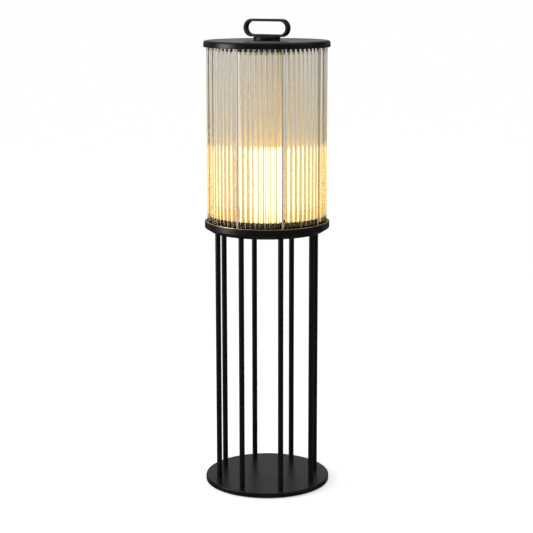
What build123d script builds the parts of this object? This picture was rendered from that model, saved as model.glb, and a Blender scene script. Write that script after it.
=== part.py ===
from build123d import *
from math import cos, hypot, radians, sin
import os

# Outdoor floor lamp: a lantern of upright glass rods between a tray and a cap, carried on
# eight slim posts over a round base. +Z is up, the origin is the middle of the footprint,
# and the front, -Y, looks squarely at the handle's loop. Sizes are millimetres.

# Fits
FIT = 0.05            # radial room of a screw, stud or insert in its hole
CLEAR = 0.3           # room round a piece that drops in or moves
SEAT_ROOM = 0.15      # radial room of a rod or a tie post in its ring
THREAD_ROOM = 1.0     # blind thread past the tip of its screw or stud

# Glass rods and the ring that they make
SECTORS = 8           # tie posts, and sectors of rods between them
RODS_PER_SECTOR = 8
ROD_D = 11.0
ROD_GAP = 1.08        # between neighbouring rods
SHADE_H = 416.0       # from the tray's lip to the cap's rim
ROD_GASKET_T = 2.0    # soft rings under and over the rods

# Tie posts between tray and cap
TIE_D = 4.5
TIE_STUD_D = 3.0
TIE_STUD_L = 8.0
TIE_SCREW_D = 3.0
TIE_SCREW_HEAD_D = 6.0
TIE_SCREW_L = 14.0

# Rod rings
RING_LAND = 2.7       # ring left outside and inside the rods
BRASS_T = 1.2         # trim ring round the soft bed of the rods
BRASS_PROUD = 1.2     # brass that shows above the tray's lip
UPPER_RING_T = 4.0

# Cap
RIM_T = 3.8           # side wall of the cap and lip of the tray
RIM_HIDE = 1.0        # upper ring above the cap's rim
CAP_WALL = 3.0
CAP_EDGE_R = 5.5
CAP_RIM_R = 1.0
TOP_PLATE_T = 5.0
HUB_WALL = 4.0        # skirt under the top plate, which steadies the opal tube
HUB_DROP = 9.0        # below the cap's rim
HUB_EDGE_R = 1.5
TUBE_HEADROOM = 2.0   # from the opal tube up to the top plate

# Handle
HANDLE_L = 120.0
HANDLE_H = 42.0
STRAP_T = 6.0
STRAP_W = 16.5
STRAP_EDGE_R = 0.6
BOSS_D = 64.0
BOSS_H = 8.0
BOSS_EDGE_R = 1.5
STRAP_SCREW_D = 5.0
STRAP_SCREW_HEAD_D = 9.0
STRAP_SCREW_L = 11.0
STRAP_SCREW_PITCH = 24.0
HANDLE_SCREWS = 3
HANDLE_SCREW_D = 6.0
HANDLE_SCREW_HEAD_D = 10.0
HANDLE_SCREW_HEAD_H = 3.5
HANDLE_SCREW_BITE = 5.5
HANDLE_SCREW_CIRCLE_R = 22.0
HANDLE_SCREW_TURN = 30.0   # degrees, clear of the strap's screws

# Tray
TRAY_H = 24.0
TRAY_TAPER = 15.0     # the underside draws in by this
TRAY_TAPER_H = 9.5
TRAY_EDGE_R = 2.5
TRAY_LIP_R = 1.2
TRAY_WALL = 4.0
LIP_DEPTH = 7.0       # from the lip down to the deck
DECK_T = 4.0
FLANGE_T = 5.0
TIE_BOSS_D = 10.0
POST_BOSS_D = 16.0
POST_BOSS_H = 6.0
LEAD_HOLE_D = 14.0

# Posts
POST_D = 13.0
POST_WALL = 1.5
POST_L = 617.0
POST_INSET = 6.5      # from the edge of the tray's flat underside
INSERT_L = 24.0
POST_STUD_D = 6.0
POST_STUD_L = 10.0

# Base
BASE_T = 12.0
BASE_PROUD = 2.0      # past the tray's edge
BASE_EDGE_R = 2.5
BASE_HEEL_R = 1.0
BASE_SCREW_D = 6.0
BASE_SCREW_HEAD_D = 12.0
BASE_SCREW_BITE = 16.0
FOOT_COUNT = 4
FOOT_D = 24.0
FOOT_RECESS = 2.0
FOOT_PROUD = 2.0
FOOT_INSET = 9.0      # from the rim of the base to a foot

# Cover under the tray, with the battery pod
COVER_T = 2.0
COVER_GASKET_T = 1.0
COVER_LAND = 7.0
COVER_POST_ROOM = 3.0
COVER_SCREWS = 6
COVER_SCREW_D = 3.0
COVER_SCREW_HEAD_D = 5.5
COVER_SCREW_HEAD_H = 1.8
COVER_SCREW_BITE = 5.0
COVER_BOSS_D = 7.0
COVER_BOSS_H = 4.0
POD_EDGE_R = 3.0

# Battery
CELLS = 4
CELL_D = 18.4
CELL_L = 65.0
CELL_GAP = 0.3
CELL_EDGE_R = 0.8
CELL_ROOM = 1.6       # from the corner of the pack to the pod's wall
CRADLE_FLOOR = 1.5
CRADLE_H = 6.0
CRADLE_L = 40.0
PAD_T = 3.0
PAD_ROOM = 0.1

# Control board
BOARD_W = 56.0
BOARD_D = 26.0
BOARD_T = 1.6
BOARD_LIFT = 6.0
STANDOFF_D = 6.0
BOARD_SCREW_D = 2.5
BOARD_SCREW_HEAD_D = 4.5
BOARD_SCREW_HEAD_H = 1.5
BOARD_SCREW_BITE = 5.0
BOARD_SCREW_INSET = 3.5
CONTROL_X = 14.0      # button and socket to each side of the middle

# Push button
BUTTON_D = 14.0
BUTTON_PROUD = 2.5
BUTTON_EDGE_R = 1.0
BUTTON_FLANGE_W = 2.0
BUTTON_FLANGE_T = 1.2
BUTTON_STEM_D = 5.0
BUTTON_TRAVEL = 1.5
BUTTON_STOP = 0.2     # stem to switch when pressed
SWITCH_W = 6.2
SWITCH_H = 2.0

# Charging socket and its rubber flap
SOCKET_W = 10.0
SOCKET_D = 5.4
SOCKET_WALL = 0.8
SOCKET_DEPTH = 5.0
SOCKET_RECESS = 0.4
FLAP_W = 15.0
FLAP_T = 2.0
FLAP_HINGE = 6.0      # from the socket's middle to the hinge line
FLAP_TIP = 5.0        # from the socket's middle to the flap's free edge
FLAP_CORNER_R = 1.2
PLUG_H = 1.7
PLUG_ROOM = 0.4
ANCHOR_W = 8.0
ANCHOR_L = 6.0
ANCHOR_STEM_D = 3.0
ANCHOR_HEAD_D = 5.6
ANCHOR_HEAD_T = 1.0

# Lamp
LAMP_FLANGE_D = 92.0
LAMP_FLANGE_T = 5.0
LAMP_SPIGOT_H = 9.0
LAMP_SCREWS = 4
LAMP_SCREW_D = 4.0
LAMP_SCREW_HEAD_D = 8.0
LAMP_SCREW_HEAD_H = 2.4
LAMP_SCREW_BITE = 8.0
LAMP_SCREW_CIRCLE_R = 30.0
DIFFUSER_D = 80.0     # opal tube, from the tray up to the top plate
DIFFUSER_WALL = 2.5
DIFFUSER_SEAL_T = 1.0
LIT_H = 184.0         # lit part of the opal tube
BAFFLE_T = 2.0        # disc that ends the lit part
COLUMN_SIDES = 8
COLUMN_AF = 28.0      # across the flats
COLUMN_BORE_D = 14.0
COLUMN_TENON_D = 20.0
COLUMN_TENON_L = 6.0
STRIP_W = 9.0
STRIP_T = 1.6
STRIP_MARGIN = 6.0    # bare column above and below a strip
LEAD_D = 2.6
LEAD_BEND_R = 8.0
LEAD_ON_BOARD = 5.0
LEAD_RISE = 20.0

# Radii that follow from the rods
pitch_deg = 360 / (SECTORS * (RODS_PER_SECTOR + 1))
sector_deg = 360 / SECTORS
rod_circle_r = (ROD_D + ROD_GAP) / (2 * sin(radians(pitch_deg / 2)))
ring_r = rod_circle_r + ROD_D / 2 + RING_LAND
ring_inner_r = rod_circle_r - ROD_D / 2 - RING_LAND
rim_inner_r = ring_r + CLEAR
brass_inner_r = ring_r - BRASS_T
disc_r = rim_inner_r + RIM_T
base_r = disc_r + BASE_PROUD
hub_inner_r = DIFFUSER_D / 2 + CLEAR
hub_r = hub_inner_r + HUB_WALL

# Radii that follow from the tray
flat_r = disc_r - TRAY_TAPER
post_circle_r = flat_r - POST_INSET - POST_D / 2
post_bore_r = POST_D / 2 - POST_WALL
cover_r = post_circle_r - POST_D / 2 - COVER_POST_ROOM
opening_r = cover_r - COVER_LAND
cover_screw_r = cover_r - COVER_LAND / 2
foot_circle_r = base_r - FOOT_INSET - FOOT_D / 2

# Battery pack and pod
pack_half_w = (CELLS * CELL_D + (CELLS - 1) * CELL_GAP) / 2
pod_r = hypot(pack_half_w, CELL_L / 2) + CELL_ROOM + COVER_T

# Levels, from the floor up
base_bottom = FOOT_PROUD
base_top = base_bottom + BASE_T
tray_bottom = base_top + POST_L
tray_lip = tray_bottom + TRAY_H
deck_top = tray_lip - LIP_DEPTH
deck_bottom = deck_top - DECK_T
flange_top = tray_bottom + FLANGE_T
rod_bottom = deck_top + ROD_GASKET_T
brass_top = tray_lip + BRASS_PROUD
cap_rim = tray_lip + SHADE_H
upper_ring_bottom = cap_rim + RIM_HIDE
rod_top = upper_ring_bottom + UPPER_RING_T
plate_bottom = rod_top + ROD_GASKET_T
plate_top = plate_bottom + TOP_PLATE_T
cap_top = plate_top + CAP_WALL
boss_top = cap_top + BOSS_H
hub_bottom = cap_rim - HUB_DROP

# Levels under the tray
cover_top = tray_bottom + COVER_T
cover_seat = cover_top + COVER_GASKET_T
board_bottom = cover_top + BOARD_LIFT
board_top = board_bottom + BOARD_T
cells_top = deck_bottom - PAD_T
cell_z = cells_top - CELL_D / 2
pod_floor = cells_top - CELL_D - CRADLE_FLOOR
board_y = -(pod_r + opening_r) / 2
socket_bottom = tray_bottom + SOCKET_RECESS
flap_top = tray_bottom - CLEAR
hinge_y = board_y - FLAP_HINGE
hinge_z = flap_top - FLAP_T / 2

# Levels of the lamp
lamp_seat = deck_top + LAMP_FLANGE_T
spigot_top = lamp_seat + LAMP_SPIGOT_H
spigot_r = DIFFUSER_D / 2 - DIFFUSER_WALL - CLEAR
diffuser_bottom = lamp_seat + DIFFUSER_SEAL_T
diffuser_top = plate_bottom - TUBE_HEADROOM
baffle_top = diffuser_bottom + LIT_H
column_top = baffle_top - BAFFLE_T

STANDING = (Align.CENTER, Align.CENTER, Align.MIN)


def disc(radius, bottom, top):
    """Upright cylinder on the lamp's axis between two levels."""
    return Pos(0, 0, bottom) * Cylinder(radius, top - bottom, align=STANDING)


def ring(outer, inner, bottom, top):
    """Upright ring on the lamp's axis between two levels."""
    return disc(outer, bottom, top) - disc(inner, bottom, top)


def block(width, depth, bottom, top):
    """Upright block on the lamp's axis between two levels."""
    return Pos(0, 0, bottom) * Box(width, depth, top - bottom, align=STANDING)


def cone(low_r, high_r, bottom, top):
    """Upright frustum on the lamp's axis between two levels."""
    return Pos(0, 0, bottom) * Cone(low_r, high_r, top - bottom, align=STANDING)


def turned(*points):
    """Solid turned about the lamp's axis from a closed outline of radius and level."""
    outline = Plane.XZ * Polyline(*points, close=True)
    return revolve(make_face(outline), Axis.Z)


def rims(shape, radius, level):
    """Round edges of a turned shape at one radius and level."""
    round_edges = shape.edges().filter_by(GeomType.CIRCLE)
    return [
        edge
        for edge in round_edges
        if abs(edge.radius - radius) < 0.001 and abs(edge.arc_center.Z - level) < 0.001
    ]


def around(radius, count, start=0.0):
    """Places spaced evenly on a circle about the lamp's axis."""
    turns = [start + 360 * index / count for index in range(count)]
    return [Pos(radius * cos(radians(a)), radius * sin(radians(a)), 0) for a in turns]


def post_places():
    return around(post_circle_r, SECTORS)


def tie_places():
    return around(rod_circle_r, SECTORS)


def rod_places(sector):
    """Places of one sector's rods, between two tie posts."""
    turns = [sector * sector_deg + (index + 1) * pitch_deg for index in range(RODS_PER_SECTOR)]
    return [Pos(rod_circle_r * cos(radians(a)), rod_circle_r * sin(radians(a)), 0) for a in turns]


def all_rod_places():
    return [place for sector in range(SECTORS) for place in rod_places(sector)]


def copies(places, shape):
    """The same shape at each place."""
    return [place * shape for place in places]


def pan_screw(shank_d, head_d, head_h, seat, tip):
    """Screw whose flat head bears on a seat, with its tip above or below."""
    low, high = min(seat, tip), max(seat, tip)
    head = disc(head_d / 2, seat - head_h, seat) if tip > seat else disc(head_d / 2, seat, seat + head_h)
    return disc(shank_d / 2, low, high) + head


def flush_screw(shank_d, head_d, face, tip):
    """Countersunk screw with its head flush in a face, and its tip above or below."""
    head_h = (head_d - shank_d) / 2
    if tip > face:
        return cone(head_d / 2, shank_d / 2, face, face + head_h) + disc(shank_d / 2, face + head_h, tip)
    return cone(shank_d / 2, head_d / 2, face - head_h, face) + disc(shank_d / 2, tip, face - head_h)


def flush_hole(shank_d, head_d, face, end):
    """Countersunk clearance hole from a face through to another level."""
    head_h = (head_d - shank_d) / 2
    shank = disc(shank_d / 2 + CLEAR, min(face, end), max(face, end))
    wide, narrow = head_d / 2 + 2 * FIT, shank_d / 2 + 2 * FIT
    if end > face:
        return shank + cone(wide, narrow, face, face + head_h)
    return shank + cone(narrow, wide, face - head_h, face)


# Stand


def make_base_plate():
    plate = disc(base_r, base_bottom, base_top)
    plate = fillet(rims(plate, base_r, base_top), BASE_EDGE_R)
    plate = fillet(rims(plate, base_r, base_bottom), BASE_HEEL_R)
    screw_hole = flush_hole(BASE_SCREW_D, BASE_SCREW_HEAD_D, base_bottom, base_top)
    recess = disc(FOOT_D / 2 + FIT, base_bottom, base_bottom + FOOT_RECESS)
    return plate - copies(post_places(), screw_hole) - copies(foot_places(), recess)


def foot_places():
    return around(foot_circle_r, FOOT_COUNT, sector_deg / 2)


def make_foot_pads():
    return copies(foot_places(), disc(FOOT_D / 2, 0, base_bottom + FOOT_RECESS))


def make_base_screws():
    tip = base_top + BASE_SCREW_BITE
    return copies(post_places(), flush_screw(BASE_SCREW_D, BASE_SCREW_HEAD_D, base_bottom, tip))


def make_post():
    return ring(POST_D / 2, post_bore_r, base_top, tray_bottom)


def make_post_bottom_inserts():
    insert = disc(post_bore_r - FIT, base_top, base_top + INSERT_L)
    thread = disc(BASE_SCREW_D / 2 + FIT, base_top, base_top + BASE_SCREW_BITE + THREAD_ROOM)
    return copies(post_places(), insert - thread)


def make_post_top_studs():
    insert = disc(post_bore_r - FIT, tray_bottom - INSERT_L, tray_bottom)
    stud = disc(POST_STUD_D / 2, tray_bottom, tray_bottom + POST_STUD_L)
    return copies(post_places(), insert + stud)


# Tray


def make_tray():
    seat_r = cover_r + CLEAR
    body = turned(
        (seat_r, tray_bottom),
        (flat_r, tray_bottom),
        (disc_r, tray_bottom + TRAY_TAPER_H),
        (disc_r, tray_lip),
        (rim_inner_r, tray_lip),
        (rim_inner_r, deck_top),
        (LEAD_HOLE_D / 2, deck_top),
        (LEAD_HOLE_D / 2, deck_bottom),
        (disc_r - TRAY_WALL, deck_bottom),
        (flat_r, flange_top),
        (opening_r, flange_top),
        (opening_r, cover_seat),
        (seat_r, cover_seat),
    )
    body = fillet(rims(body, flat_r, tray_bottom), TRAY_EDGE_R)
    body = fillet(rims(body, disc_r, tray_bottom + TRAY_TAPER_H), TRAY_EDGE_R)
    body = fillet(rims(body, disc_r, tray_lip), TRAY_LIP_R)
    tie_boss = disc(TIE_BOSS_D / 2, deck_top - TIE_STUD_L - DECK_T / 2, deck_top)
    post_boss = disc(POST_BOSS_D / 2, flange_top - FLANGE_T / 2, flange_top + POST_BOSS_H)
    cover_boss = disc(COVER_BOSS_D / 2, cover_seat, flange_top + COVER_BOSS_H)
    body += copies(tie_places(), tie_boss)
    body += copies(post_places(), post_boss)
    body += copies(cover_screw_places(), cover_boss)
    tie_thread = disc(TIE_STUD_D / 2 + FIT, deck_top - TIE_STUD_L - THREAD_ROOM, deck_top)
    post_thread = disc(POST_STUD_D / 2 + FIT, tray_bottom, tray_bottom + POST_STUD_L + THREAD_ROOM)
    cover_thread_end = cover_seat + COVER_SCREW_BITE + THREAD_ROOM
    cover_thread = disc(COVER_SCREW_D / 2 + FIT, cover_seat, cover_thread_end)
    lamp_hole = disc(LAMP_SCREW_D / 2 + CLEAR, deck_bottom, deck_top)
    body -= copies(tie_places(), tie_thread)
    body -= copies(post_places(), post_thread)
    body -= copies(cover_screw_places(), cover_thread)
    return body - copies(lamp_screw_places(), lamp_hole)


def cover_screw_places():
    return around(cover_screw_r, COVER_SCREWS)


def lamp_screw_places():
    return around(LAMP_SCREW_CIRCLE_R, LAMP_SCREWS, 180 / LAMP_SCREWS)


def board_screw_places():
    half_w = BOARD_W / 2 - BOARD_SCREW_INSET
    half_d = BOARD_D / 2 - BOARD_SCREW_INSET
    return [Pos(x, board_y + y, 0) for x in (-half_w, half_w) for y in (-half_d, half_d)]


def make_tray_cover():
    pod_bottom = pod_floor - COVER_T
    cover = turned(
        (0, pod_bottom),
        (pod_r, pod_bottom),
        (pod_r, tray_bottom),
        (cover_r, tray_bottom),
        (cover_r, cover_top),
        (pod_r - COVER_T, cover_top),
        (pod_r - COVER_T, pod_floor),
        (0, pod_floor),
    )
    cover = fillet(rims(cover, pod_r, pod_bottom), POD_EDGE_R)
    cover += copies(board_screw_places(), disc(STANDOFF_D / 2, tray_bottom + COVER_T / 2, board_bottom))
    thread_end = board_top - BOARD_T - BOARD_SCREW_BITE
    cover -= copies(board_screw_places(), disc(BOARD_SCREW_D / 2 + FIT, thread_end, board_bottom))
    cover -= copies(cover_screw_places(), disc(COVER_SCREW_D / 2 + CLEAR, tray_bottom, cover_top))
    cover -= Pos(-CONTROL_X, board_y, 0) * disc(BUTTON_D / 2 + CLEAR, tray_bottom, cover_top)
    slot = block(SOCKET_W + 2 * CLEAR, SOCKET_D + 2 * CLEAR, tray_bottom, cover_top)
    cover -= Pos(CONTROL_X, board_y, 0) * slot
    return cover - anchor_place() * disc(ANCHOR_STEM_D / 2 + FIT, tray_bottom, cover_top)


def make_tray_gasket():
    gasket = ring(cover_r, opening_r, cover_top, cover_seat)
    return gasket - copies(cover_screw_places(), disc(COVER_SCREW_D / 2 + CLEAR, cover_top, cover_seat))


def make_cover_screws():
    tip = cover_seat + COVER_SCREW_BITE
    screw = pan_screw(COVER_SCREW_D, COVER_SCREW_HEAD_D, COVER_SCREW_HEAD_H, tray_bottom, tip)
    return copies(cover_screw_places(), screw)


# Battery and controls in the pod


def cell_places():
    step = CELL_D + CELL_GAP
    return [Pos((index - (CELLS - 1) / 2) * step, 0, cell_z) for index in range(CELLS)]


def make_battery_cells():
    cell = Rot(90, 0, 0) * Cylinder(CELL_D / 2, CELL_L)
    cell = fillet(cell.edges().filter_by(GeomType.CIRCLE), CELL_EDGE_R)
    return copies(cell_places(), cell)


def make_battery_cradle():
    cradle = block(2 * pack_half_w, CRADLE_L, pod_floor, pod_floor + CRADLE_H)
    groove = Rot(90, 0, 0) * Cylinder(CELL_D / 2 + FIT, CRADLE_L)
    return cradle - copies(cell_places(), groove)


def make_battery_pad():
    pad = block(2 * pack_half_w, CELL_L, cells_top + PAD_ROOM, deck_bottom)
    head_hole = disc(LAMP_SCREW_HEAD_D / 2 + CLEAR, cells_top, deck_bottom)
    lead_slot = block(LEAD_HOLE_D, CELL_L, cells_top, deck_bottom)
    pad -= copies(lamp_screw_places(), head_hole)
    return pad - Pos(0, -CELL_L / 2 + LEAD_HOLE_D / 2, 0) * lead_slot


def make_control_board():
    """Board with its soldered push switch, which the button's stem presses."""
    board = Pos(0, board_y, 0) * block(BOARD_W, BOARD_D, board_bottom, board_top)
    switch = block(SWITCH_W, SWITCH_W, board_bottom - SWITCH_H, board_bottom)
    board += Pos(-CONTROL_X, board_y, 0) * switch
    return board - copies(board_screw_places(), disc(BOARD_SCREW_D / 2 + CLEAR, board_bottom, board_top))


def make_board_screws():
    tip = board_bottom - BOARD_SCREW_BITE + FIT
    screw = pan_screw(BOARD_SCREW_D, BOARD_SCREW_HEAD_D, BOARD_SCREW_HEAD_H, board_top, tip)
    return copies(board_screw_places(), screw)


def make_power_button():
    flange_bottom = cover_top + FIT
    flange_up = flange_bottom + BUTTON_FLANGE_T
    stem_top = board_bottom - SWITCH_H - BUTTON_TRAVEL - BUTTON_STOP
    crown = tray_bottom - BUTTON_PROUD
    cap = disc(BUTTON_D / 2, crown, flange_bottom)
    cap = fillet(rims(cap, BUTTON_D / 2, crown), BUTTON_EDGE_R)
    button = cap + disc(BUTTON_D / 2 + BUTTON_FLANGE_W, flange_bottom, flange_up)
    button += disc(BUTTON_STEM_D / 2, flange_up, stem_top)
    return Pos(-CONTROL_X, board_y, 0) * button


def make_charging_socket():
    shell = block(SOCKET_W, SOCKET_D, socket_bottom, board_bottom)
    mouth = block(
        SOCKET_W - 2 * SOCKET_WALL,
        SOCKET_D - 2 * SOCKET_WALL,
        socket_bottom,
        socket_bottom + SOCKET_DEPTH,
    )
    return Pos(CONTROL_X, board_y, 0) * (shell - mouth)


def make_socket_flap():
    length = FLAP_HINGE + FLAP_TIP
    leaf = Pos(CONTROL_X, hinge_y + length / 2, hinge_z) * Box(FLAP_W, length, FLAP_T)
    tip_edges = leaf.edges().filter_by(Axis.Z).sort_by(Axis.Y)[-2:]
    leaf = fillet(tip_edges, FLAP_CORNER_R)
    knuckle = Pos(CONTROL_X, hinge_y, hinge_z) * Rot(0, 90, 0) * Cylinder(FLAP_T / 2, FLAP_W)
    plug_w = SOCKET_W - 2 * SOCKET_WALL - 2 * PLUG_ROOM
    plug_d = SOCKET_D - 2 * SOCKET_WALL - 2 * PLUG_ROOM
    plug = Pos(CONTROL_X, board_y, 0) * block(plug_w, plug_d, flap_top, flap_top + PLUG_H)
    return leaf + knuckle + plug


def anchor_place():
    return Pos(CONTROL_X, hinge_y - FLAP_T / 2 - CLEAR - ANCHOR_L / 2, 0)


def make_flap_anchor():
    tab = block(ANCHOR_W, ANCHOR_L, tray_bottom - FLAP_T, tray_bottom)
    stem = disc(ANCHOR_STEM_D / 2, tray_bottom, cover_top)
    head = disc(ANCHOR_HEAD_D / 2, cover_top, cover_top + ANCHOR_HEAD_T)
    return anchor_place() * (tab + stem + head)


# Lamp


def make_lamp_base():
    base = disc(LAMP_FLANGE_D / 2, deck_top, lamp_seat) + disc(spigot_r, lamp_seat, spigot_top)
    base -= disc(COLUMN_BORE_D / 2, deck_top, spigot_top)
    base -= disc(COLUMN_TENON_D / 2 + FIT, spigot_top - COLUMN_TENON_L, spigot_top)
    thread = disc(LAMP_SCREW_D / 2 + FIT, deck_top, deck_top + LAMP_SCREW_BITE + THREAD_ROOM)
    return base - copies(lamp_screw_places(), thread)


def make_lamp_screws():
    tip = deck_top + LAMP_SCREW_BITE
    screw = pan_screw(LAMP_SCREW_D, LAMP_SCREW_HEAD_D, LAMP_SCREW_HEAD_H, deck_bottom, tip)
    return copies(lamp_screw_places(), screw)


def make_led_column():
    """Eight-sided bored column, with the disc that ends the lit part on its top."""
    section = RegularPolygon(COLUMN_AF / 2, COLUMN_SIDES, major_radius=False)
    body = Pos(0, 0, spigot_top) * extrude(section, column_top - spigot_top)
    body += disc(COLUMN_TENON_D / 2, spigot_top - COLUMN_TENON_L, spigot_top)
    body -= disc(COLUMN_BORE_D / 2, spigot_top - COLUMN_TENON_L, column_top)
    return body + disc(spigot_r, column_top, baffle_top)


def make_led_strips():
    low = spigot_top + STRIP_MARGIN
    high = column_top - STRIP_MARGIN
    strip = Pos(COLUMN_AF / 2 + STRIP_T / 2, 0, 0) * block(STRIP_T, STRIP_W, low, high)
    step = 360 / COLUMN_SIDES
    return [Rot(0, 0, step * (index + 0.5)) * strip for index in range(COLUMN_SIDES)]


def make_diffuser():
    return ring(DIFFUSER_D / 2, DIFFUSER_D / 2 - DIFFUSER_WALL, diffuser_bottom, diffuser_top)


def make_diffuser_seal():
    return ring(DIFFUSER_D / 2, DIFFUSER_D / 2 - DIFFUSER_WALL, lamp_seat, diffuser_bottom)


def make_lamp_lead():
    start_y = board_y + BOARD_D / 2 - LEAD_ON_BOARD
    level = deck_bottom - LEAD_D / 2 - CLEAR
    route = ((0, start_y, level), (0, 0, level), (0, 0, level + LEAD_RISE))
    path = FilletPolyline(*route, radius=LEAD_BEND_R)
    section = Plane(origin=(0, start_y, level), z_dir=(0, 1, 0)) * Circle(LEAD_D / 2)
    return sweep(section, path)


# Shade


def make_lower_rod_gasket():
    """Moulded soft bed with a blind pocket for each rod."""
    bed = ring(brass_inner_r - FIT, ring_inner_r, deck_top, tray_lip)
    pockets = copies(all_rod_places(), disc(ROD_D / 2 + SEAT_ROOM, rod_bottom, tray_lip))
    return bed - pockets - copies(tie_places(), disc(TIE_D / 2 + SEAT_ROOM, deck_top, tray_lip))


def make_lower_rod_ring():
    """Brass trim round the bed, whose edge shows over the tray's lip."""
    return ring(ring_r, brass_inner_r, deck_top, brass_top)


def make_glass_rods(sector):
    rod = disc(ROD_D / 2, rod_bottom, rod_top)
    return copies(rod_places(sector), rod)


def make_tie_post():
    post = disc(TIE_D / 2, deck_top, plate_bottom)
    post += disc(TIE_STUD_D / 2, deck_top - TIE_STUD_L, deck_top)
    thread_end = plate_top - TIE_SCREW_L - THREAD_ROOM
    return post - disc(TIE_SCREW_D / 2 + FIT, thread_end, plate_bottom)


def make_upper_rod_ring():
    """Ring with a seat for every rod and tie post, right through it."""
    rod_seat = disc(ROD_D / 2 + SEAT_ROOM, upper_ring_bottom, rod_top)
    tie_seat = disc(TIE_D / 2 + SEAT_ROOM, upper_ring_bottom, rod_top)
    body = ring(ring_r, ring_inner_r, upper_ring_bottom, rod_top)
    return body - copies(all_rod_places(), rod_seat) - copies(tie_places(), tie_seat)


def make_upper_rod_gasket():
    gasket = ring(ring_r, ring_inner_r, rod_top, plate_bottom)
    return gasket - copies(tie_places(), disc(TIE_D / 2 + SEAT_ROOM, rod_top, plate_bottom))


# Cap and handle


def handle_screw_places():
    return around(HANDLE_SCREW_CIRCLE_R, HANDLE_SCREWS, HANDLE_SCREW_TURN)


def strap_screw_places():
    return [Pos(side * STRAP_SCREW_PITCH / 2, 0, 0) for side in (-1, 1)]


def make_top_plate():
    plate = disc(ring_r, plate_bottom, plate_top)
    hub = ring(hub_r, hub_inner_r, hub_bottom, plate_bottom)
    plate += fillet(rims(hub, hub_r, hub_bottom), HUB_EDGE_R)
    plate -= copies(tie_places(), flush_hole(TIE_SCREW_D, TIE_SCREW_HEAD_D, plate_top, plate_bottom))
    screw_hole = disc(HANDLE_SCREW_D / 2 + CLEAR, plate_bottom, plate_top)
    return plate - copies(handle_screw_places(), screw_hole)


def make_tie_screws():
    screw = flush_screw(TIE_SCREW_D, TIE_SCREW_HEAD_D, plate_top, plate_top - TIE_SCREW_L)
    return copies(tie_places(), screw)


def make_cap_shell():
    shell = turned(
        (0, plate_top),
        (rim_inner_r, plate_top),
        (rim_inner_r, cap_rim),
        (disc_r, cap_rim),
        (disc_r, cap_top),
        (0, cap_top),
    )
    shell = fillet(rims(shell, disc_r, cap_top), CAP_EDGE_R)
    shell = fillet(rims(shell, disc_r, cap_rim), CAP_RIM_R)
    return shell - copies(handle_screw_places(), disc(HANDLE_SCREW_D / 2 + CLEAR, plate_top, cap_top))


def make_handle_boss():
    boss = disc(BOSS_D / 2, cap_top, boss_top)
    boss = fillet(rims(boss, BOSS_D / 2, boss_top), BOSS_EDGE_R)
    handle_thread = disc(HANDLE_SCREW_D / 2 + FIT, cap_top, cap_top + HANDLE_SCREW_BITE + THREAD_ROOM)
    strap_end = boss_top + STRAP_T - STRAP_SCREW_L - THREAD_ROOM
    strap_thread = disc(STRAP_SCREW_D / 2 + FIT, strap_end, boss_top)
    boss -= copies(handle_screw_places(), handle_thread)
    return boss - copies(strap_screw_places(), strap_thread)


def make_handle_strap():
    middle = Plane(origin=(0, 0, boss_top + HANDLE_H / 2), x_dir=(1, 0, 0), z_dir=(0, -1, 0))
    outline = SlotOverall(HANDLE_L, HANDLE_H)
    opening = SlotOverall(HANDLE_L - 2 * STRAP_T, HANDLE_H - 2 * STRAP_T)
    strap = extrude(middle * (outline - opening), STRAP_W / 2, both=True)
    sides = strap.faces().sort_by(Axis.Y)
    strap = fillet(sides[0].edges() + sides[-1].edges(), STRAP_EDGE_R)
    screw_hole = flush_hole(STRAP_SCREW_D, STRAP_SCREW_HEAD_D, boss_top + STRAP_T, boss_top)
    return strap - copies(strap_screw_places(), screw_hole)


def make_strap_screws():
    face = boss_top + STRAP_T
    screw = flush_screw(STRAP_SCREW_D, STRAP_SCREW_HEAD_D, face, face - STRAP_SCREW_L)
    return copies(strap_screw_places(), screw)


def make_handle_screws():
    tip = cap_top + HANDLE_SCREW_BITE
    screw = pan_screw(HANDLE_SCREW_D, HANDLE_SCREW_HEAD_D, HANDLE_SCREW_HEAD_H, plate_bottom, tip)
    return copies(handle_screw_places(), screw)


def write(node, shape):
    """Writes one node, a single solid or a group of separate ones."""
    solids = shape if isinstance(shape, list) else [shape]
    export_step(Compound(children=solids) if len(solids) > 1 else solids[0], f"parts/{node}.step")


os.makedirs("parts", exist_ok=True)

write("base_plate", make_base_plate())
write("foot_pads", make_foot_pads())
write("base_screws", make_base_screws())
write("post_bottom_inserts", make_post_bottom_inserts())
write("post_top_studs", make_post_top_studs())
for number, place in enumerate(post_places(), start=1):
    write(f"post_{number}", place * make_post())

write("tray", make_tray())
write("tray_cover", make_tray_cover())
write("tray_gasket", make_tray_gasket())
write("cover_screws", make_cover_screws())

write("battery_cells", make_battery_cells())
write("battery_cradle", make_battery_cradle())
write("battery_pad", make_battery_pad())
write("control_board", make_control_board())
write("board_screws", make_board_screws())
write("power_button", make_power_button())
write("charging_socket", make_charging_socket())
write("socket_flap", make_socket_flap())
write("flap_anchor", make_flap_anchor())

write("lamp_base", make_lamp_base())
write("lamp_screws", make_lamp_screws())
write("led_column", make_led_column())
write("led_strips", make_led_strips())
write("diffuser", make_diffuser())
write("diffuser_seal", make_diffuser_seal())
write("lamp_lead", make_lamp_lead())

write("lower_rod_gasket", make_lower_rod_gasket())
write("lower_rod_ring", make_lower_rod_ring())
for sector in range(SECTORS):
    write(f"glass_rods_{sector + 1}", make_glass_rods(sector))
for number, place in enumerate(tie_places(), start=1):
    write(f"tie_post_{number}", place * make_tie_post())
write("upper_rod_ring", make_upper_rod_ring())
write("upper_rod_gasket", make_upper_rod_gasket())

write("top_plate", make_top_plate())
write("tie_screws", make_tie_screws())
write("cap_shell", make_cap_shell())
write("handle_boss", make_handle_boss())
write("handle_screws", make_handle_screws())
write("handle_strap", make_handle_strap())
write("strap_screws", make_strap_screws())
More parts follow.
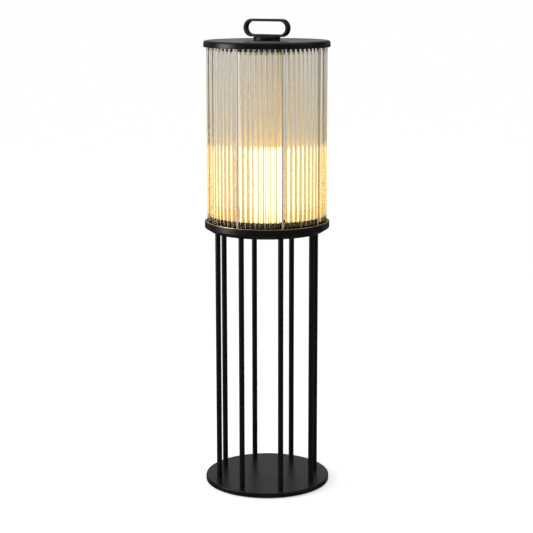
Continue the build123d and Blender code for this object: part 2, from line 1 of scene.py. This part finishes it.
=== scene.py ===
import bpy
from math import cos, pi, radians, sin
from mathutils import Matrix, Vector


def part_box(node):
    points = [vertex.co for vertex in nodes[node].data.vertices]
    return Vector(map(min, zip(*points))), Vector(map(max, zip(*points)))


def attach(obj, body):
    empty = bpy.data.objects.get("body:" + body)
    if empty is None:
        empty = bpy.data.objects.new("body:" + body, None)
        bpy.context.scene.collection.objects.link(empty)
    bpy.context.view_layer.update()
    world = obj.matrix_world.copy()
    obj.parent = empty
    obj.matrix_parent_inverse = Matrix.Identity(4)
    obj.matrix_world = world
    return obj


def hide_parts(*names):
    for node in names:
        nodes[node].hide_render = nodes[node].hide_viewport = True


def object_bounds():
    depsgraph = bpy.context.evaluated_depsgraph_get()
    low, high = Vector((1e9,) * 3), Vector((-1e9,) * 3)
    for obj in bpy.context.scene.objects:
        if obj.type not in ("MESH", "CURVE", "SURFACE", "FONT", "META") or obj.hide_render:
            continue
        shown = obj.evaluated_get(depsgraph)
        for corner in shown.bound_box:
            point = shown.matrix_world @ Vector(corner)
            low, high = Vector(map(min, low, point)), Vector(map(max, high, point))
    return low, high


# Looks of an outdoor floor lamp: black powder-coated stand, tray and cap, a shade of clear
# glass rods and a warm light inside. Lengths are metres, unless a comment says otherwise.

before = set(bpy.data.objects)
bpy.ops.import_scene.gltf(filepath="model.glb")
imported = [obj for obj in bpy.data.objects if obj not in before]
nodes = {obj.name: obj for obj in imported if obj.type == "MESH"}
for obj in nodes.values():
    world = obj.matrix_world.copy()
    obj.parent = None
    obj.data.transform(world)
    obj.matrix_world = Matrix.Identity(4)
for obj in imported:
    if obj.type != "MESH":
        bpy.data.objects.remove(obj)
cad_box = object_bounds()

# Photograph's viewpoint
CAMERA_AZIMUTH = radians(29.9)
CAMERA_DISTANCE = 3.450       # level distance from the lamp's axis
CAMERA_HEIGHT = 1.2255
CAMERA_TILT = radians(11.23)
CAMERA_PAN = radians(0.026)   # past the lamp's axis, to the left
CAMERA_ROLL = radians(-0.07)
CAMERA_LENS = 97.44           # millimetres, on a 36 mm sensor

# Studio light
AMBIENT = 0.7                 # world light on matt surfaces
FLOOR_GREY = 0.80
FLOOR_LIFT = 1 - FLOOR_GREY * AMBIENT    # added for the eye alone, so that an open floor is white
FLOOR_SIZE = 60.0

# Softboxes, their turn from the camera's side and their power in watts
KEY_LIGHT = {"turn": radians(-79), "height": 1.05, "distance": 2.4, "size": (1.05, 1.7), "power": 36}
FILL_LIGHT = {"turn": radians(70), "height": 1.8, "distance": 3.0, "size": (1.6, 1.6), "power": 5}

# Tones of the studio in gloss and glass. Levels are the sine of an elevation, and turns are the
# cosine of a turn from the camera's side.
PANELS = 8                    # pale panels all round
PANEL_GAP = 0.38              # tone between the panels
PANEL_EDGE = 0.6              # reach of the soft change from panel to gap, in the wave that makes them
FAR_SIDE = 0.62               # tone of the wall behind the lamp, in gloss
CAMERA_SIDE = 0.15            # tone of the other walls and of the floor, in gloss
FAR_TURNS = (-0.95, -0.55)    # turns over which the far wall passes into the others
FAR_FOOT = (0.0, 0.01)        # levels over which it rises from the floor
FAR_FADE = (0.12, 0.35)       # levels over which it dims
FAR_HIGH = 0.46               # share of its tone above them
OVERHEAD = (0.45, 0.8)        # levels over which gloss turns to white overhead

# Values of the finishes
CLOUD_LOW = 0.3               # range that most of a noise's values lie in
CLOUD_HIGH = 0.7
PAINT_GLOSS = 0.3
PAINT_ROUGH = (0.29, 0.35)
PAINT_BLEND = 0.0005          # change from the dull paint inside the shade to the rest
GLASS_IOR = 1.5
PAINTED_GLASS_GLOW = 0.03             # painted glow: gold light painted into the glass beside the lit part
OPAL_GLOW = 3.5

# Places up the opal tube, as shares of its height
PAINTED_TINT_BLEND = 0.01             # each way from the lit edge, where the glass's painted gold tint, painted light, gives way to its paler tint
PAINTED_GLOW_START = (-0.004, 0.012)  # from the top of the trim, where the glass's painted glow comes in
PAINTED_GLOW_END = (-0.006, 0.004)    # from the lit edge, where that painted glow goes out
OPAL_FOOT = 0.06              # where the light is full
OPAL_FALL = (-0.035, -0.006)  # from the lit edge, where the light falls off
AFTERGLOW = 0.16              # over the lit edge, where the glow's fall slows

# Sizes of the glass rods
SECTORS = 8
RODS_PER_SECTOR = 8
ROD_SIDES = 56
ROD_END_R = 0.0008            # fire-polished edge at each end
ROD_END_STEPS = 3

# Sizes of the trim at the ends of the shade
TRIM_SIDES = 144
FOOT_H = 0.014                # height of gallery and dish over the rods' bed
GALLERY_T = 0.0018
GALLERY_FOOT = 0.002          # unbroken part under the teeth
GALLERY_ROOM = 0.0006         # behind the rods
TOOTH_W = 0.0085
TOOTH_STEPS = 3               # flats across a tooth
DISH_T = 0.0006
DISH_ROOM = 0.0005            # inside the gallery, and round the lamp's foot
BAND_H = 0.0045               # brass band
BAND_R = 0.064
BAND_DROP = 0.0035            # below the hub
BAND_ROOM = 0.0002            # round the opal tube
LIP_H = 0.008                 # black ring
LIP_R = 0.094
HUB_WALL = 0.0045             # wall of the top plate's hub, and room round it
TRIM_EDGE = 0.0004            # cut corners of band and ring


# Materials


def maths(tree, operation, first, second=0.0):
    """One sum on two values, each a number or another node's output."""
    made = tree.nodes.new("ShaderNodeMath")
    made.operation = operation
    for socket, value in zip(made.inputs, (first, second)):
        if isinstance(value, (int, float)):
            socket.default_value = value
        else:
            tree.links.new(value, socket)
    return made.outputs["Value"]


def map_range(tree, value, low, high, from_low, from_high, kind="SMOOTHSTEP"):
    """A value moved from one range to another."""
    mapped = tree.nodes.new("ShaderNodeMapRange")
    mapped.interpolation_type = kind
    mapped.inputs["From Min"].default_value = from_low
    mapped.inputs["From Max"].default_value = from_high
    mapped.inputs["To Min"].default_value = low
    mapped.inputs["To Max"].default_value = high
    tree.links.new(value, mapped.inputs["Value"])
    return mapped.outputs["Result"]


class Finish:
    """One procedural material, with short ways to add its nodes."""

    def __init__(self, name, **constants):
        self.material = bpy.data.materials.new(name)
        self.material.use_nodes = True
        self.tree = self.material.node_tree
        self.shader = self.tree.nodes["Principled BSDF"]
        for socket, value in constants.items():
            self.shader.inputs[socket.replace("_", " ")].default_value = value

    def node(self, kind, **inputs):
        made = self.tree.nodes.new(kind)
        for socket, value in inputs.items():
            made.inputs[socket.replace("_", " ")].default_value = value
        return made

    def link(self, output, node, socket):
        self.tree.links.new(output, node.inputs[socket])

    def place(self, stretch=(1, 1, 1)):
        """Point in the lamp's own frame, with each axis squeezed or stretched."""
        point = self.node("ShaderNodeTexCoord").outputs["Object"]
        mapping = self.node("ShaderNodeMapping", Scale=stretch)
        self.link(point, mapping, "Vector")
        return mapping.outputs["Vector"]

    def noise(self, size, detail=3, stretch=(1, 1, 1)):
        """Cloudy values from 0 to 1, with features of about one size."""
        texture = self.node("ShaderNodeTexNoise", Scale=1 / size, Detail=detail)
        self.link(self.place(stretch), texture, "Vector")
        return texture.outputs["Fac"]

    def cells(self, size):
        """Distance to the nearest of scattered points."""
        texture = self.node("ShaderNodeTexVoronoi", Scale=1 / size)
        self.link(self.place(), texture, "Vector")
        return texture.outputs["Distance"]

    def height(self, low, high):
        """0 at one level, 1 at another, and even between them."""
        split = self.node("ShaderNodeSeparateXYZ")
        self.link(self.place(), split, "Vector")
        return map_range(self.tree, split.outputs["Z"], 0, 1, low, high, "LINEAR")

    def radius(self):
        """Distance from the lamp's axis."""
        length = self.node("ShaderNodeVectorMath")
        length.operation = "LENGTH"
        self.link(self.place((1, 1, 0)), length, "Vector")
        return length.outputs["Value"]

    def colours(self, value, *stops):
        """Colours along a value, each stop a place from 0 to 1 and a colour."""
        ramp = self.node("ShaderNodeValToRGB")
        elements = ramp.color_ramp.elements
        for element, (where, colour) in zip(elements, (stops[0], stops[-1])):
            element.position = where
            element.color = (*colour, 1)
        for where, colour in stops[1:-1]:
            elements.new(where).color = (*colour, 1)
        self.link(value, ramp, "Fac")
        return ramp.outputs["Color"]

    def tint(self, value, first, second, low=CLOUD_LOW, high=CLOUD_HIGH):
        """The surface's colour, from one tone to another along a value."""
        self.link(self.colours(value, (low, first), (high, second)), self.shader, "Base Color")

    def rough(self, value, low, high):
        roughness = map_range(self.tree, value, low, high, CLOUD_LOW, CLOUD_HIGH)
        self.link(roughness, self.shader, "Roughness")

    def bump(self, value, depth):
        bump = self.node("ShaderNodeBump", Distance=depth)
        self.link(value, bump, "Height")
        self.link(bump.outputs["Normal"], self.shader, "Normal")


def black_paint(shade_r, shade_low, shade_high):
    """Fine-textured black powder coat, left dull inside the shade so that it mirrors no light."""
    finish = Finish("black_powder_coat")
    tree = finish.tree
    cloud = finish.noise(size=0.09, detail=4)
    grain = finish.noise(size=0.0009, detail=2)
    finish.tint(cloud, (0.0032, 0.0031, 0.0028), (0.0052, 0.0051, 0.0046))
    inner = map_range(tree, finish.radius(), 1, 0, shade_r - PAINT_BLEND, shade_r)
    above = finish.height(shade_low - PAINT_BLEND, shade_low)
    below = finish.height(shade_high + PAINT_BLEND, shade_high)
    inside = maths(tree, "MULTIPLY", inner, maths(tree, "MULTIPLY", above, below))
    gloss = map_range(tree, inside, PAINT_GLOSS, 0, 0, 1)
    finish.link(gloss, finish.shader, "Specular IOR Level")
    finish.rough(cloud, *PAINT_ROUGH)
    finish.bump(grain, depth=0.00006)
    return finish.material


def clear_glass(low, foot, lit, high):
    """Drawn glass with faint long streaks, with a painted gold tint and a painted glow beside the lit
    part, which stand in for the lamp's light caught there.
    """
    finish = Finish(
        "clear_drawn_glass", Transmission_Weight=1.0, IOR=GLASS_IOR, Emission_Strength=PAINTED_GLASS_GLOW
    )
    start = (foot - low) / (high - low)
    edge = (lit - low) / (high - low)
    level = finish.height(low, high)
    # painted light: gold tint in the glass up to the lit edge, a paler tint above it
    glass = finish.colours(
        level,
        (0.0, (0.97, 0.86, 0.60)),
        (edge - PAINTED_TINT_BLEND, (0.97, 0.88, 0.64)),
        (edge + PAINTED_TINT_BLEND, (0.93, 0.88, 0.78)),
        (1.0, (0.93, 0.92, 0.89)),
    )
    # painted glow: gold emission in the glass from the trim up to the lit edge
    glow = finish.colours(
        level,
        (start + PAINTED_GLOW_START[0], (0.0, 0.0, 0.0)),
        (start + PAINTED_GLOW_START[1], (1.0, 0.68, 0.32)),
        (edge + PAINTED_GLOW_END[0], (1.0, 0.72, 0.40)),
        (edge + PAINTED_GLOW_END[1], (0.04, 0.03, 0.015)),
        (1.0, (0.0, 0.0, 0.0)),
    )
    streak = finish.noise(size=0.004, detail=2, stretch=(1, 1, 0.02))
    finish.link(glass, finish.shader, "Base Color")
    finish.link(glow, finish.shader, "Emission Color")
    finish.rough(streak, low=0.0, high=0.01)
    return finish.material


def brass():
    """Spun brass with a fine grain and some tarnish."""
    finish = Finish("spun_brass", Metallic=0.7)
    tarnish = finish.noise(size=0.03, detail=4)
    grain = finish.noise(size=0.0006, detail=2)
    finish.tint(tarnish, (0.76, 0.52, 0.18), (0.90, 0.68, 0.28))
    finish.rough(tarnish, low=0.26, high=0.38)
    finish.bump(grain, depth=0.00002)
    return finish.material


def satin_metal(name, dark, light, metallic=1.0):
    """Steel or aluminium with a lengthwise satin grain."""
    finish = Finish(name, Metallic=metallic)
    grain = finish.noise(size=0.0008, detail=3, stretch=(1, 1, 0.03))
    finish.tint(grain, dark, light)
    finish.rough(grain, low=0.28, high=0.42)
    finish.bump(grain, depth=0.00002)
    return finish.material


def screw_steel(name, dark, light):
    """Plated screw, slightly mottled."""
    finish = Finish(name, Metallic=1.0)
    mottle = finish.noise(size=0.004, detail=3)
    finish.tint(mottle, dark, light)
    finish.rough(mottle, low=0.25, high=0.4)
    finish.bump(finish.noise(size=0.0005, detail=2), depth=0.00002)
    return finish.material


def rubber():
    finish = Finish("black_rubber", Specular_IOR_Level=0.15)
    cloud = finish.noise(size=0.01, detail=3)
    finish.tint(cloud, (0.006, 0.006, 0.006), (0.012, 0.0115, 0.011))
    finish.rough(cloud, low=0.7, high=0.85)
    finish.bump(finish.noise(size=0.0006, detail=3), depth=0.00008)
    return finish.material


def silicone():
    finish = Finish("clear_silicone", Transmission_Weight=0.5, IOR=1.41)
    cloud = finish.noise(size=0.006, detail=3)
    finish.tint(cloud, (0.62, 0.62, 0.60), (0.74, 0.74, 0.72))
    finish.rough(cloud, low=0.35, high=0.5)
    finish.bump(finish.noise(size=0.001, detail=2), depth=0.00003)
    return finish.material


def opal_light(low, lit, high):
    """Opal tube with the light on: bright up to the baffle, and a glow that fades above it."""
    finish = Finish("opal_tube", Emission_Strength=OPAL_GLOW)
    cloud = finish.noise(size=0.03, detail=2)
    finish.tint(cloud, (0.55, 0.50, 0.41), (0.61, 0.56, 0.46))
    finish.rough(cloud, low=0.4, high=0.5)
    edge = (lit - low) / (high - low)
    glow = finish.colours(
        finish.height(low, high),
        (0.0, (0.80, 0.58, 0.30)),
        (OPAL_FOOT, (1.0, 0.79, 0.50)),
        (edge + OPAL_FALL[0], (1.0, 0.81, 0.54)),
        (edge + OPAL_FALL[1], (0.46, 0.34, 0.17)),
        (edge, (0.245, 0.150, 0.036)),
        (edge + AFTERGLOW, (0.146, 0.095, 0.027)),
        (1.0, (0.068, 0.052, 0.030)),
    )
    finish.link(glow, finish.shader, "Emission Color")
    return finish.material


def led_board():
    """White strip with rows of yellow light chips."""
    finish = Finish("led_strip")
    bands = finish.node("ShaderNodeTexWave", Scale=60.0)
    bands.bands_direction = "Z"
    finish.link(finish.place(), bands, "Vector")
    wave = bands.outputs["Fac"]
    finish.tint(wave, (0.75, 0.75, 0.72), (0.80, 0.60, 0.12), low=0.7, high=0.75)
    finish.rough(finish.noise(size=0.004), low=0.4, high=0.55)
    finish.bump(wave, depth=0.0002)
    return finish.material


def circuit_board():
    """Green board with etched tracks."""
    finish = Finish("circuit_board", Specular_IOR_Level=0.5)
    tracks = finish.cells(size=0.004)
    finish.tint(tracks, (0.05, 0.16, 0.07), (0.015, 0.07, 0.03), low=0.1, high=0.5)
    finish.rough(tracks, low=0.3, high=0.45)
    finish.bump(tracks, depth=0.00005)
    return finish.material


def moulded(name, dark, light, low_rough=0.45, high_rough=0.6):
    """Moulded plastic with a fine spark-eroded grain."""
    finish = Finish(name, Specular_IOR_Level=0.4)
    cloud = finish.noise(size=0.012, detail=3)
    finish.tint(cloud, dark, light)
    finish.rough(cloud, low_rough, high_rough)
    finish.bump(finish.noise(size=0.0005, detail=2), depth=0.00004)
    return finish.material


def foam():
    finish = Finish("grey_foam", Specular_IOR_Level=0.2)
    pores = finish.cells(size=0.0012)
    finish.tint(pores, (0.08, 0.08, 0.085), (0.20, 0.20, 0.21), low=0.1, high=0.6)
    finish.rough(pores, low=0.85, high=0.95)
    finish.bump(pores, depth=0.0003)
    return finish.material


tube_low, tube_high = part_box("diffuser")
lit_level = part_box("led_column")[1].z
bed_low, bed_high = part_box("lower_rod_gasket")
foot_top = bed_high.z + FOOT_H
cap_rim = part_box("cap_shell")[0].z
FINISHES = {
    "black_paint": black_paint(bed_high.x, bed_low.z, cap_rim),
    "clear_glass": clear_glass(tube_low.z, foot_top, lit_level, tube_high.z),
    "brass_ring": brass(),
    # bronzed steel, its tone lightened and warmed as painted light for the lamp's gold light on the tie
    # posts; the deck dish shares this finish
    "tie_steel": satin_metal("bronzed_steel_with_painted_light", (0.72, 0.62, 0.47), (0.84, 0.74, 0.58), metallic=0.3),
    "dark_screws": screw_steel("blackened_steel", (0.03, 0.03, 0.03), (0.07, 0.068, 0.065)),
    "zinc_screws": screw_steel("zinc_plate", (0.50, 0.51, 0.52), (0.68, 0.69, 0.68)),
    "black_rubber": rubber(),
    "clear_silicone": silicone(),
    "bare_aluminium": satin_metal("bare_aluminium", (0.62, 0.62, 0.63), (0.80, 0.80, 0.80)),
    "opal_plastic": opal_light(tube_low.z, lit_level, tube_high.z),
    "led_board": led_board(),
    "green_board": circuit_board(),
    "cell_wrap": moulded("cell_wrap", (0.02, 0.11, 0.26), (0.03, 0.15, 0.33), 0.25, 0.35),
    "black_plastic": moulded("black_plastic", (0.012, 0.012, 0.013), (0.022, 0.022, 0.023)),
    "grey_foam": foam(),
    "socket_steel": satin_metal("nickel_plate", (0.55, 0.54, 0.50), (0.72, 0.70, 0.66)),
    "lead_sheath": moulded("lead_sheath", (0.10, 0.10, 0.105), (0.15, 0.15, 0.155)),
}

for node in nodes.values():
    for holder in node.material_slots:
        holder.material = FINISHES[holder.material.name]


# Pieces


def new_mesh(name, points, faces):
    mesh = bpy.data.meshes.new(name)
    mesh.from_pydata(points, [], faces)
    return mesh


def add_piece(name, mesh, slot, body, *replaced):
    """A new piece with its finish, on a body, in place of CAD nodes."""
    piece = bpy.data.objects.new(name, mesh)
    bpy.context.scene.collection.objects.link(piece)
    mesh.materials.append(FINISHES[slot])
    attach(piece, body)
    if replaced:
        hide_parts(*replaced)


# Glass rods


def rod_outline(radius, bottom, top):
    """Radius and level up one rod's side, with its rounded end edges."""
    steps = [index * pi / 2 / ROD_END_STEPS for index in range(ROD_END_STEPS + 1)]
    foot = [(radius - ROD_END_R * (1 - sin(a)), bottom + ROD_END_R * (1 - cos(a))) for a in steps]
    foot.append((radius, bottom + 2 * ROD_END_R))
    head = [(r, top + bottom - z) for r, z in reversed(foot)]
    return foot + head


def rod_mesh(name, centres, radius, bottom, top):
    """Closed round rods standing at the centres, as one mesh."""
    outline = rod_outline(radius, bottom, top)
    rows = len(outline)
    turns = [2 * pi * index / ROD_SIDES for index in range(ROD_SIDES)]
    points, faces = [], []
    for centre in centres:
        first = len(points)
        points += [
            (centre.x + r * cos(a), centre.y + r * sin(a), z) for r, z in outline for a in turns
        ]
        for row in range(rows - 1):
            low = first + row * ROD_SIDES
            high = low + ROD_SIDES
            for side in range(ROD_SIDES):
                following = (side + 1) % ROD_SIDES
                faces.append((low + side, low + following, high + following, high + side))
        faces.append(tuple(first + side for side in reversed(range(ROD_SIDES))))
        faces.append(tuple(first + (rows - 1) * ROD_SIDES + side for side in range(ROD_SIDES)))
    mesh = new_mesh(name, points, faces)
    for polygon in mesh.polygons:
        polygon.use_smooth = len(polygon.vertices) == 4
    return mesh


tie_low, tie_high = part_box("tie_post_1")
rods_low, rods_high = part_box("glass_rods_1")
circle_r = (tie_low.x + tie_high.x) / 2
places = SECTORS * (RODS_PER_SECTOR + 1)
pitch = 2 * pi / places
rod_r = rods_high.x - circle_r * cos(pitch)


def add_glass_rods():
    """Each sector's rods, after its tie post."""
    for sector in range(SECTORS):
        name = f"drawn_rods_{sector + 1}"
        start = sector * 2 * pi / SECTORS
        turns = [start + pitch * (index + 1) for index in range(RODS_PER_SECTOR)]
        centres = [Vector((circle_r * cos(a), circle_r * sin(a), 0)) for a in turns]
        mesh = rod_mesh(name, centres, rod_r, rods_low.z, rods_high.z)
        add_piece(name, mesh, "clear_glass", "lamp", f"glass_rods_{sector + 1}")


add_glass_rods()


# Trim at the ends of the shade


def turned_mesh(name, outline):
    """Closed ring turned about the lamp's axis from points of radius and level."""
    turns = [2 * pi * index / TRIM_SIDES for index in range(TRIM_SIDES)]
    points = [(r * cos(a), r * sin(a), z) for r, z in outline for a in turns]
    rows = len(outline)
    faces = []
    for row in range(rows):
        low, high = row * TRIM_SIDES, (row + 1) % rows * TRIM_SIDES
        for side in range(TRIM_SIDES):
            following = (side + 1) % TRIM_SIDES
            faces.append((low + side, low + following, high + following, high + side))
    return new_mesh(name, points, faces)


def ring_outline(inner, outer, bottom, top):
    """Section of a flat ring, with its outer corners cut."""
    return [
        (inner, bottom),
        (outer - TRIM_EDGE, bottom),
        (outer, bottom + TRIM_EDGE),
        (outer, top - TRIM_EDGE),
        (outer - TRIM_EDGE, top),
        (inner, top),
    ]


def comb_mesh(name, inner, outer, bottom, low, high):
    """Ring about the lamp's axis with a tooth behind each rod and tie post."""
    half = TOOTH_W / outer / 2
    steps = [2 * half * step / TOOTH_STEPS - half for step in range(TOOTH_STEPS + 1)]
    turns = [place * pitch + step for place in range(places) for step in steps]
    section = [(inner, bottom), (outer, bottom), (outer, low), (outer, high), (inner, high), (inner, low)]
    rows = len(section)
    points = [(r * cos(a), r * sin(a), z) for a in turns for r, z in section]
    tooth = [(row, (row + 1) % rows) for row in range(rows)]
    notch = [(0, 1), (1, 2), (2, 5), (5, 0)]    # round the section's part below the teeth
    faces = []
    for index in range(len(turns)):
        here, there = index * rows, (index + 1) % len(turns) * rows
        step = index % len(steps)
        section_sides = notch if step == TOOTH_STEPS else tooth
        for first, second in section_sides:
            faces.append((here + first, there + first, there + second, here + second))
        flank = [here + row for row in range(2, rows)]
        if step == 0:
            faces.append(flank)
        if step == TOOTH_STEPS:
            faces.append(flank[::-1])
    return new_mesh(name, points, faces)


def add_hub_trim():
    """Black ring round the top plate's hub, and a brass band round the opal tube under it."""
    tube_r = tube_high.x + BAND_ROOM
    hub_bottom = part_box("top_plate")[0].z
    lip = ring_outline(tube_r + HUB_WALL, LIP_R, hub_bottom, hub_bottom + LIP_H)
    add_piece("hub_lip", turned_mesh("hub_lip", lip), "black_paint", "lamp")
    band_top = hub_bottom - BAND_DROP
    band = ring_outline(tube_r, BAND_R, band_top - BAND_H, band_top)
    add_piece("hub_trim", turned_mesh("hub_trim", band), "brass_ring", "lamp")


def add_foot_trim():
    """Black gallery behind the rods' feet, and a pale dish on the deck inside it."""
    outer = circle_r - rod_r - GALLERY_ROOM
    inner = outer - GALLERY_T
    teeth_low = bed_high.z + GALLERY_FOOT
    comb = comb_mesh("rod_gallery", inner, outer, bed_high.z, teeth_low, foot_top)
    add_piece("rod_gallery", comb, "black_paint", "lamp")
    rim_r = inner - DISH_ROOM
    hole_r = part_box("lamp_base")[1].x + DISH_ROOM
    floor_top = bed_low.z + DISH_T
    dish = [
        (hole_r, bed_low.z),
        (rim_r, bed_low.z),
        (rim_r, foot_top),
        (rim_r - DISH_T, foot_top),
        (rim_r - DISH_T, floor_top),
        (hole_r, floor_top),
    ]
    add_piece("deck_dish", turned_mesh("deck_dish", dish), "tie_steel", "lamp")


add_hub_trim()
add_foot_trim()


# Studio


def sorted_rays(tree):
    """Three switches: rays from the eye, rays from gloss, and rays through glass."""
    path = tree.nodes.new("ShaderNodeLightPath").outputs
    glass = path["Is Transmission Ray"]
    gloss = maths(tree, "MULTIPLY", path["Is Glossy Ray"], maths(tree, "SUBTRACT", 1.0, glass))
    return path["Is Camera Ray"], gloss, glass


def wall_tone(tree, turn, level):
    """Tone of walls and ceiling in gloss: a far wall that dims upwards, dark sides, white overhead."""
    far = map_range(tree, maths(tree, "COSINE", turn), FAR_SIDE, CAMERA_SIDE, *FAR_TURNS)
    fade = map_range(tree, level, 1.0, FAR_HIGH, *FAR_FADE)
    rise = map_range(tree, level, 0.0, 1.0, *FAR_FOOT)
    far = maths(tree, "MULTIPLY", far, maths(tree, "MULTIPLY", fade, rise))
    overhead = map_range(tree, level, 0.0, 1.0, *OVERHEAD)
    return maths(tree, "MAXIMUM", maths(tree, "MAXIMUM", far, CAMERA_SIDE), overhead)


def studio_tone(tree, place, gloss, glass):
    """What gloss and glass show: pale panels all round, dimmed in gloss by the walls' tone."""
    split = tree.nodes.new("ShaderNodeSeparateXYZ")
    tree.links.new(tree.nodes.new("ShaderNodeTexCoord").outputs[place], split.inputs["Vector"])
    turn = maths(tree, "ARCTAN2", split.outputs["X"], maths(tree, "MULTIPLY", split.outputs["Y"], -1.0))
    turn = maths(tree, "SUBTRACT", turn, CAMERA_AZIMUTH)
    wave = maths(tree, "COSINE", maths(tree, "MULTIPLY", turn, PANELS))
    panel = map_range(tree, wave, PANEL_GAP, 1.0, -PANEL_EDGE, PANEL_EDGE)
    dimmed = maths(tree, "MULTIPLY", gloss, wall_tone(tree, turn, split.outputs["Z"]))
    return maths(tree, "MULTIPLY", maths(tree, "ADD", dimmed, glass), panel)


def add_floor():
    """White to the eye where nothing shades it."""
    half = FLOOR_SIZE / 2
    corners = [(-half, -half, 0), (half, -half, 0), (half, half, 0), (-half, half, 0)]
    mesh = new_mesh("floor", corners, [(0, 1, 2, 3)])
    floor = bpy.data.objects.new("floor", mesh)
    bpy.context.scene.collection.objects.link(floor)
    finish = Finish("floor", Roughness=0.9, Specular_IOR_Level=0.0, Emission_Color=(1, 1, 1, 1))
    tree = finish.tree
    eye, gloss, glass = sorted_rays(tree)
    matt = maths(tree, "SUBTRACT", 1.0, maths(tree, "ADD", gloss, glass))
    finish.link(maths(tree, "MULTIPLY", matt, FLOOR_GREY), finish.shader, "Base Color")
    lift = maths(tree, "MULTIPLY", eye, FLOOR_LIFT)
    glow = maths(tree, "ADD", lift, studio_tone(tree, "Object", gloss, glass))
    finish.link(glow, finish.shader, "Emission Strength")
    mesh.materials.append(finish.material)


def add_world():
    """White to the eye, panels to gloss and glass, and even light for the rest."""
    world = bpy.data.worlds.new("studio")
    bpy.context.scene.world = world
    world.use_nodes = True
    tree = world.node_tree
    background = tree.nodes["Background"]
    background.inputs["Color"].default_value = (1, 1, 1, 1)
    eye, gloss, glass = sorted_rays(tree)
    seen = maths(tree, "ADD", eye, maths(tree, "ADD", gloss, glass))
    even = maths(tree, "MULTIPLY", maths(tree, "SUBTRACT", 1.0, seen), AMBIENT)
    shown = maths(tree, "ADD", eye, studio_tone(tree, "Generated", gloss, glass))
    tree.links.new(maths(tree, "ADD", even, shown), background.inputs["Strength"])


def add_softbox(name, turn, height, distance, size, power):
    """Area light of a width and height, at a turn from the camera's side, aimed at the lamp's middle."""
    light = bpy.data.lights.new(name, "AREA")
    light.shape = "RECTANGLE"
    light.size, light.size_y = size
    light.energy = power
    softbox = bpy.data.objects.new(name, light)
    bpy.context.scene.collection.objects.link(softbox)
    azimuth = CAMERA_AZIMUTH + turn
    softbox.location = (distance * sin(azimuth), -distance * cos(azimuth), height)
    aim = Vector((0, 0, (cad_box[0].z + cad_box[1].z) / 2)) - softbox.location
    softbox.rotation_euler = aim.to_track_quat("-Z", "Y").to_euler()
    softbox.visible_transmission = False


def add_camera():
    camera = bpy.data.objects.new("camera", bpy.data.cameras.new("camera"))
    bpy.context.scene.collection.objects.link(camera)
    camera.data.lens = CAMERA_LENS
    camera.location = (
        CAMERA_DISTANCE * sin(CAMERA_AZIMUTH),
        -CAMERA_DISTANCE * cos(CAMERA_AZIMUTH),
        CAMERA_HEIGHT,
    )
    level = Matrix.Rotation(CAMERA_AZIMUTH + CAMERA_PAN, 3, "Z")
    tilt = Matrix.Rotation(pi / 2 - CAMERA_TILT, 3, "X")
    roll = Matrix.Rotation(CAMERA_ROLL, 3, "Z")
    camera.rotation_euler = (level @ tilt @ roll).to_euler()
    bpy.context.scene.camera = camera


add_floor()
add_world()
add_softbox("key_light", **KEY_LIGHT)
add_softbox("fill_light", **FILL_LIGHT)
add_camera()
bpy.context.scene.view_settings.view_transform = "Standard"
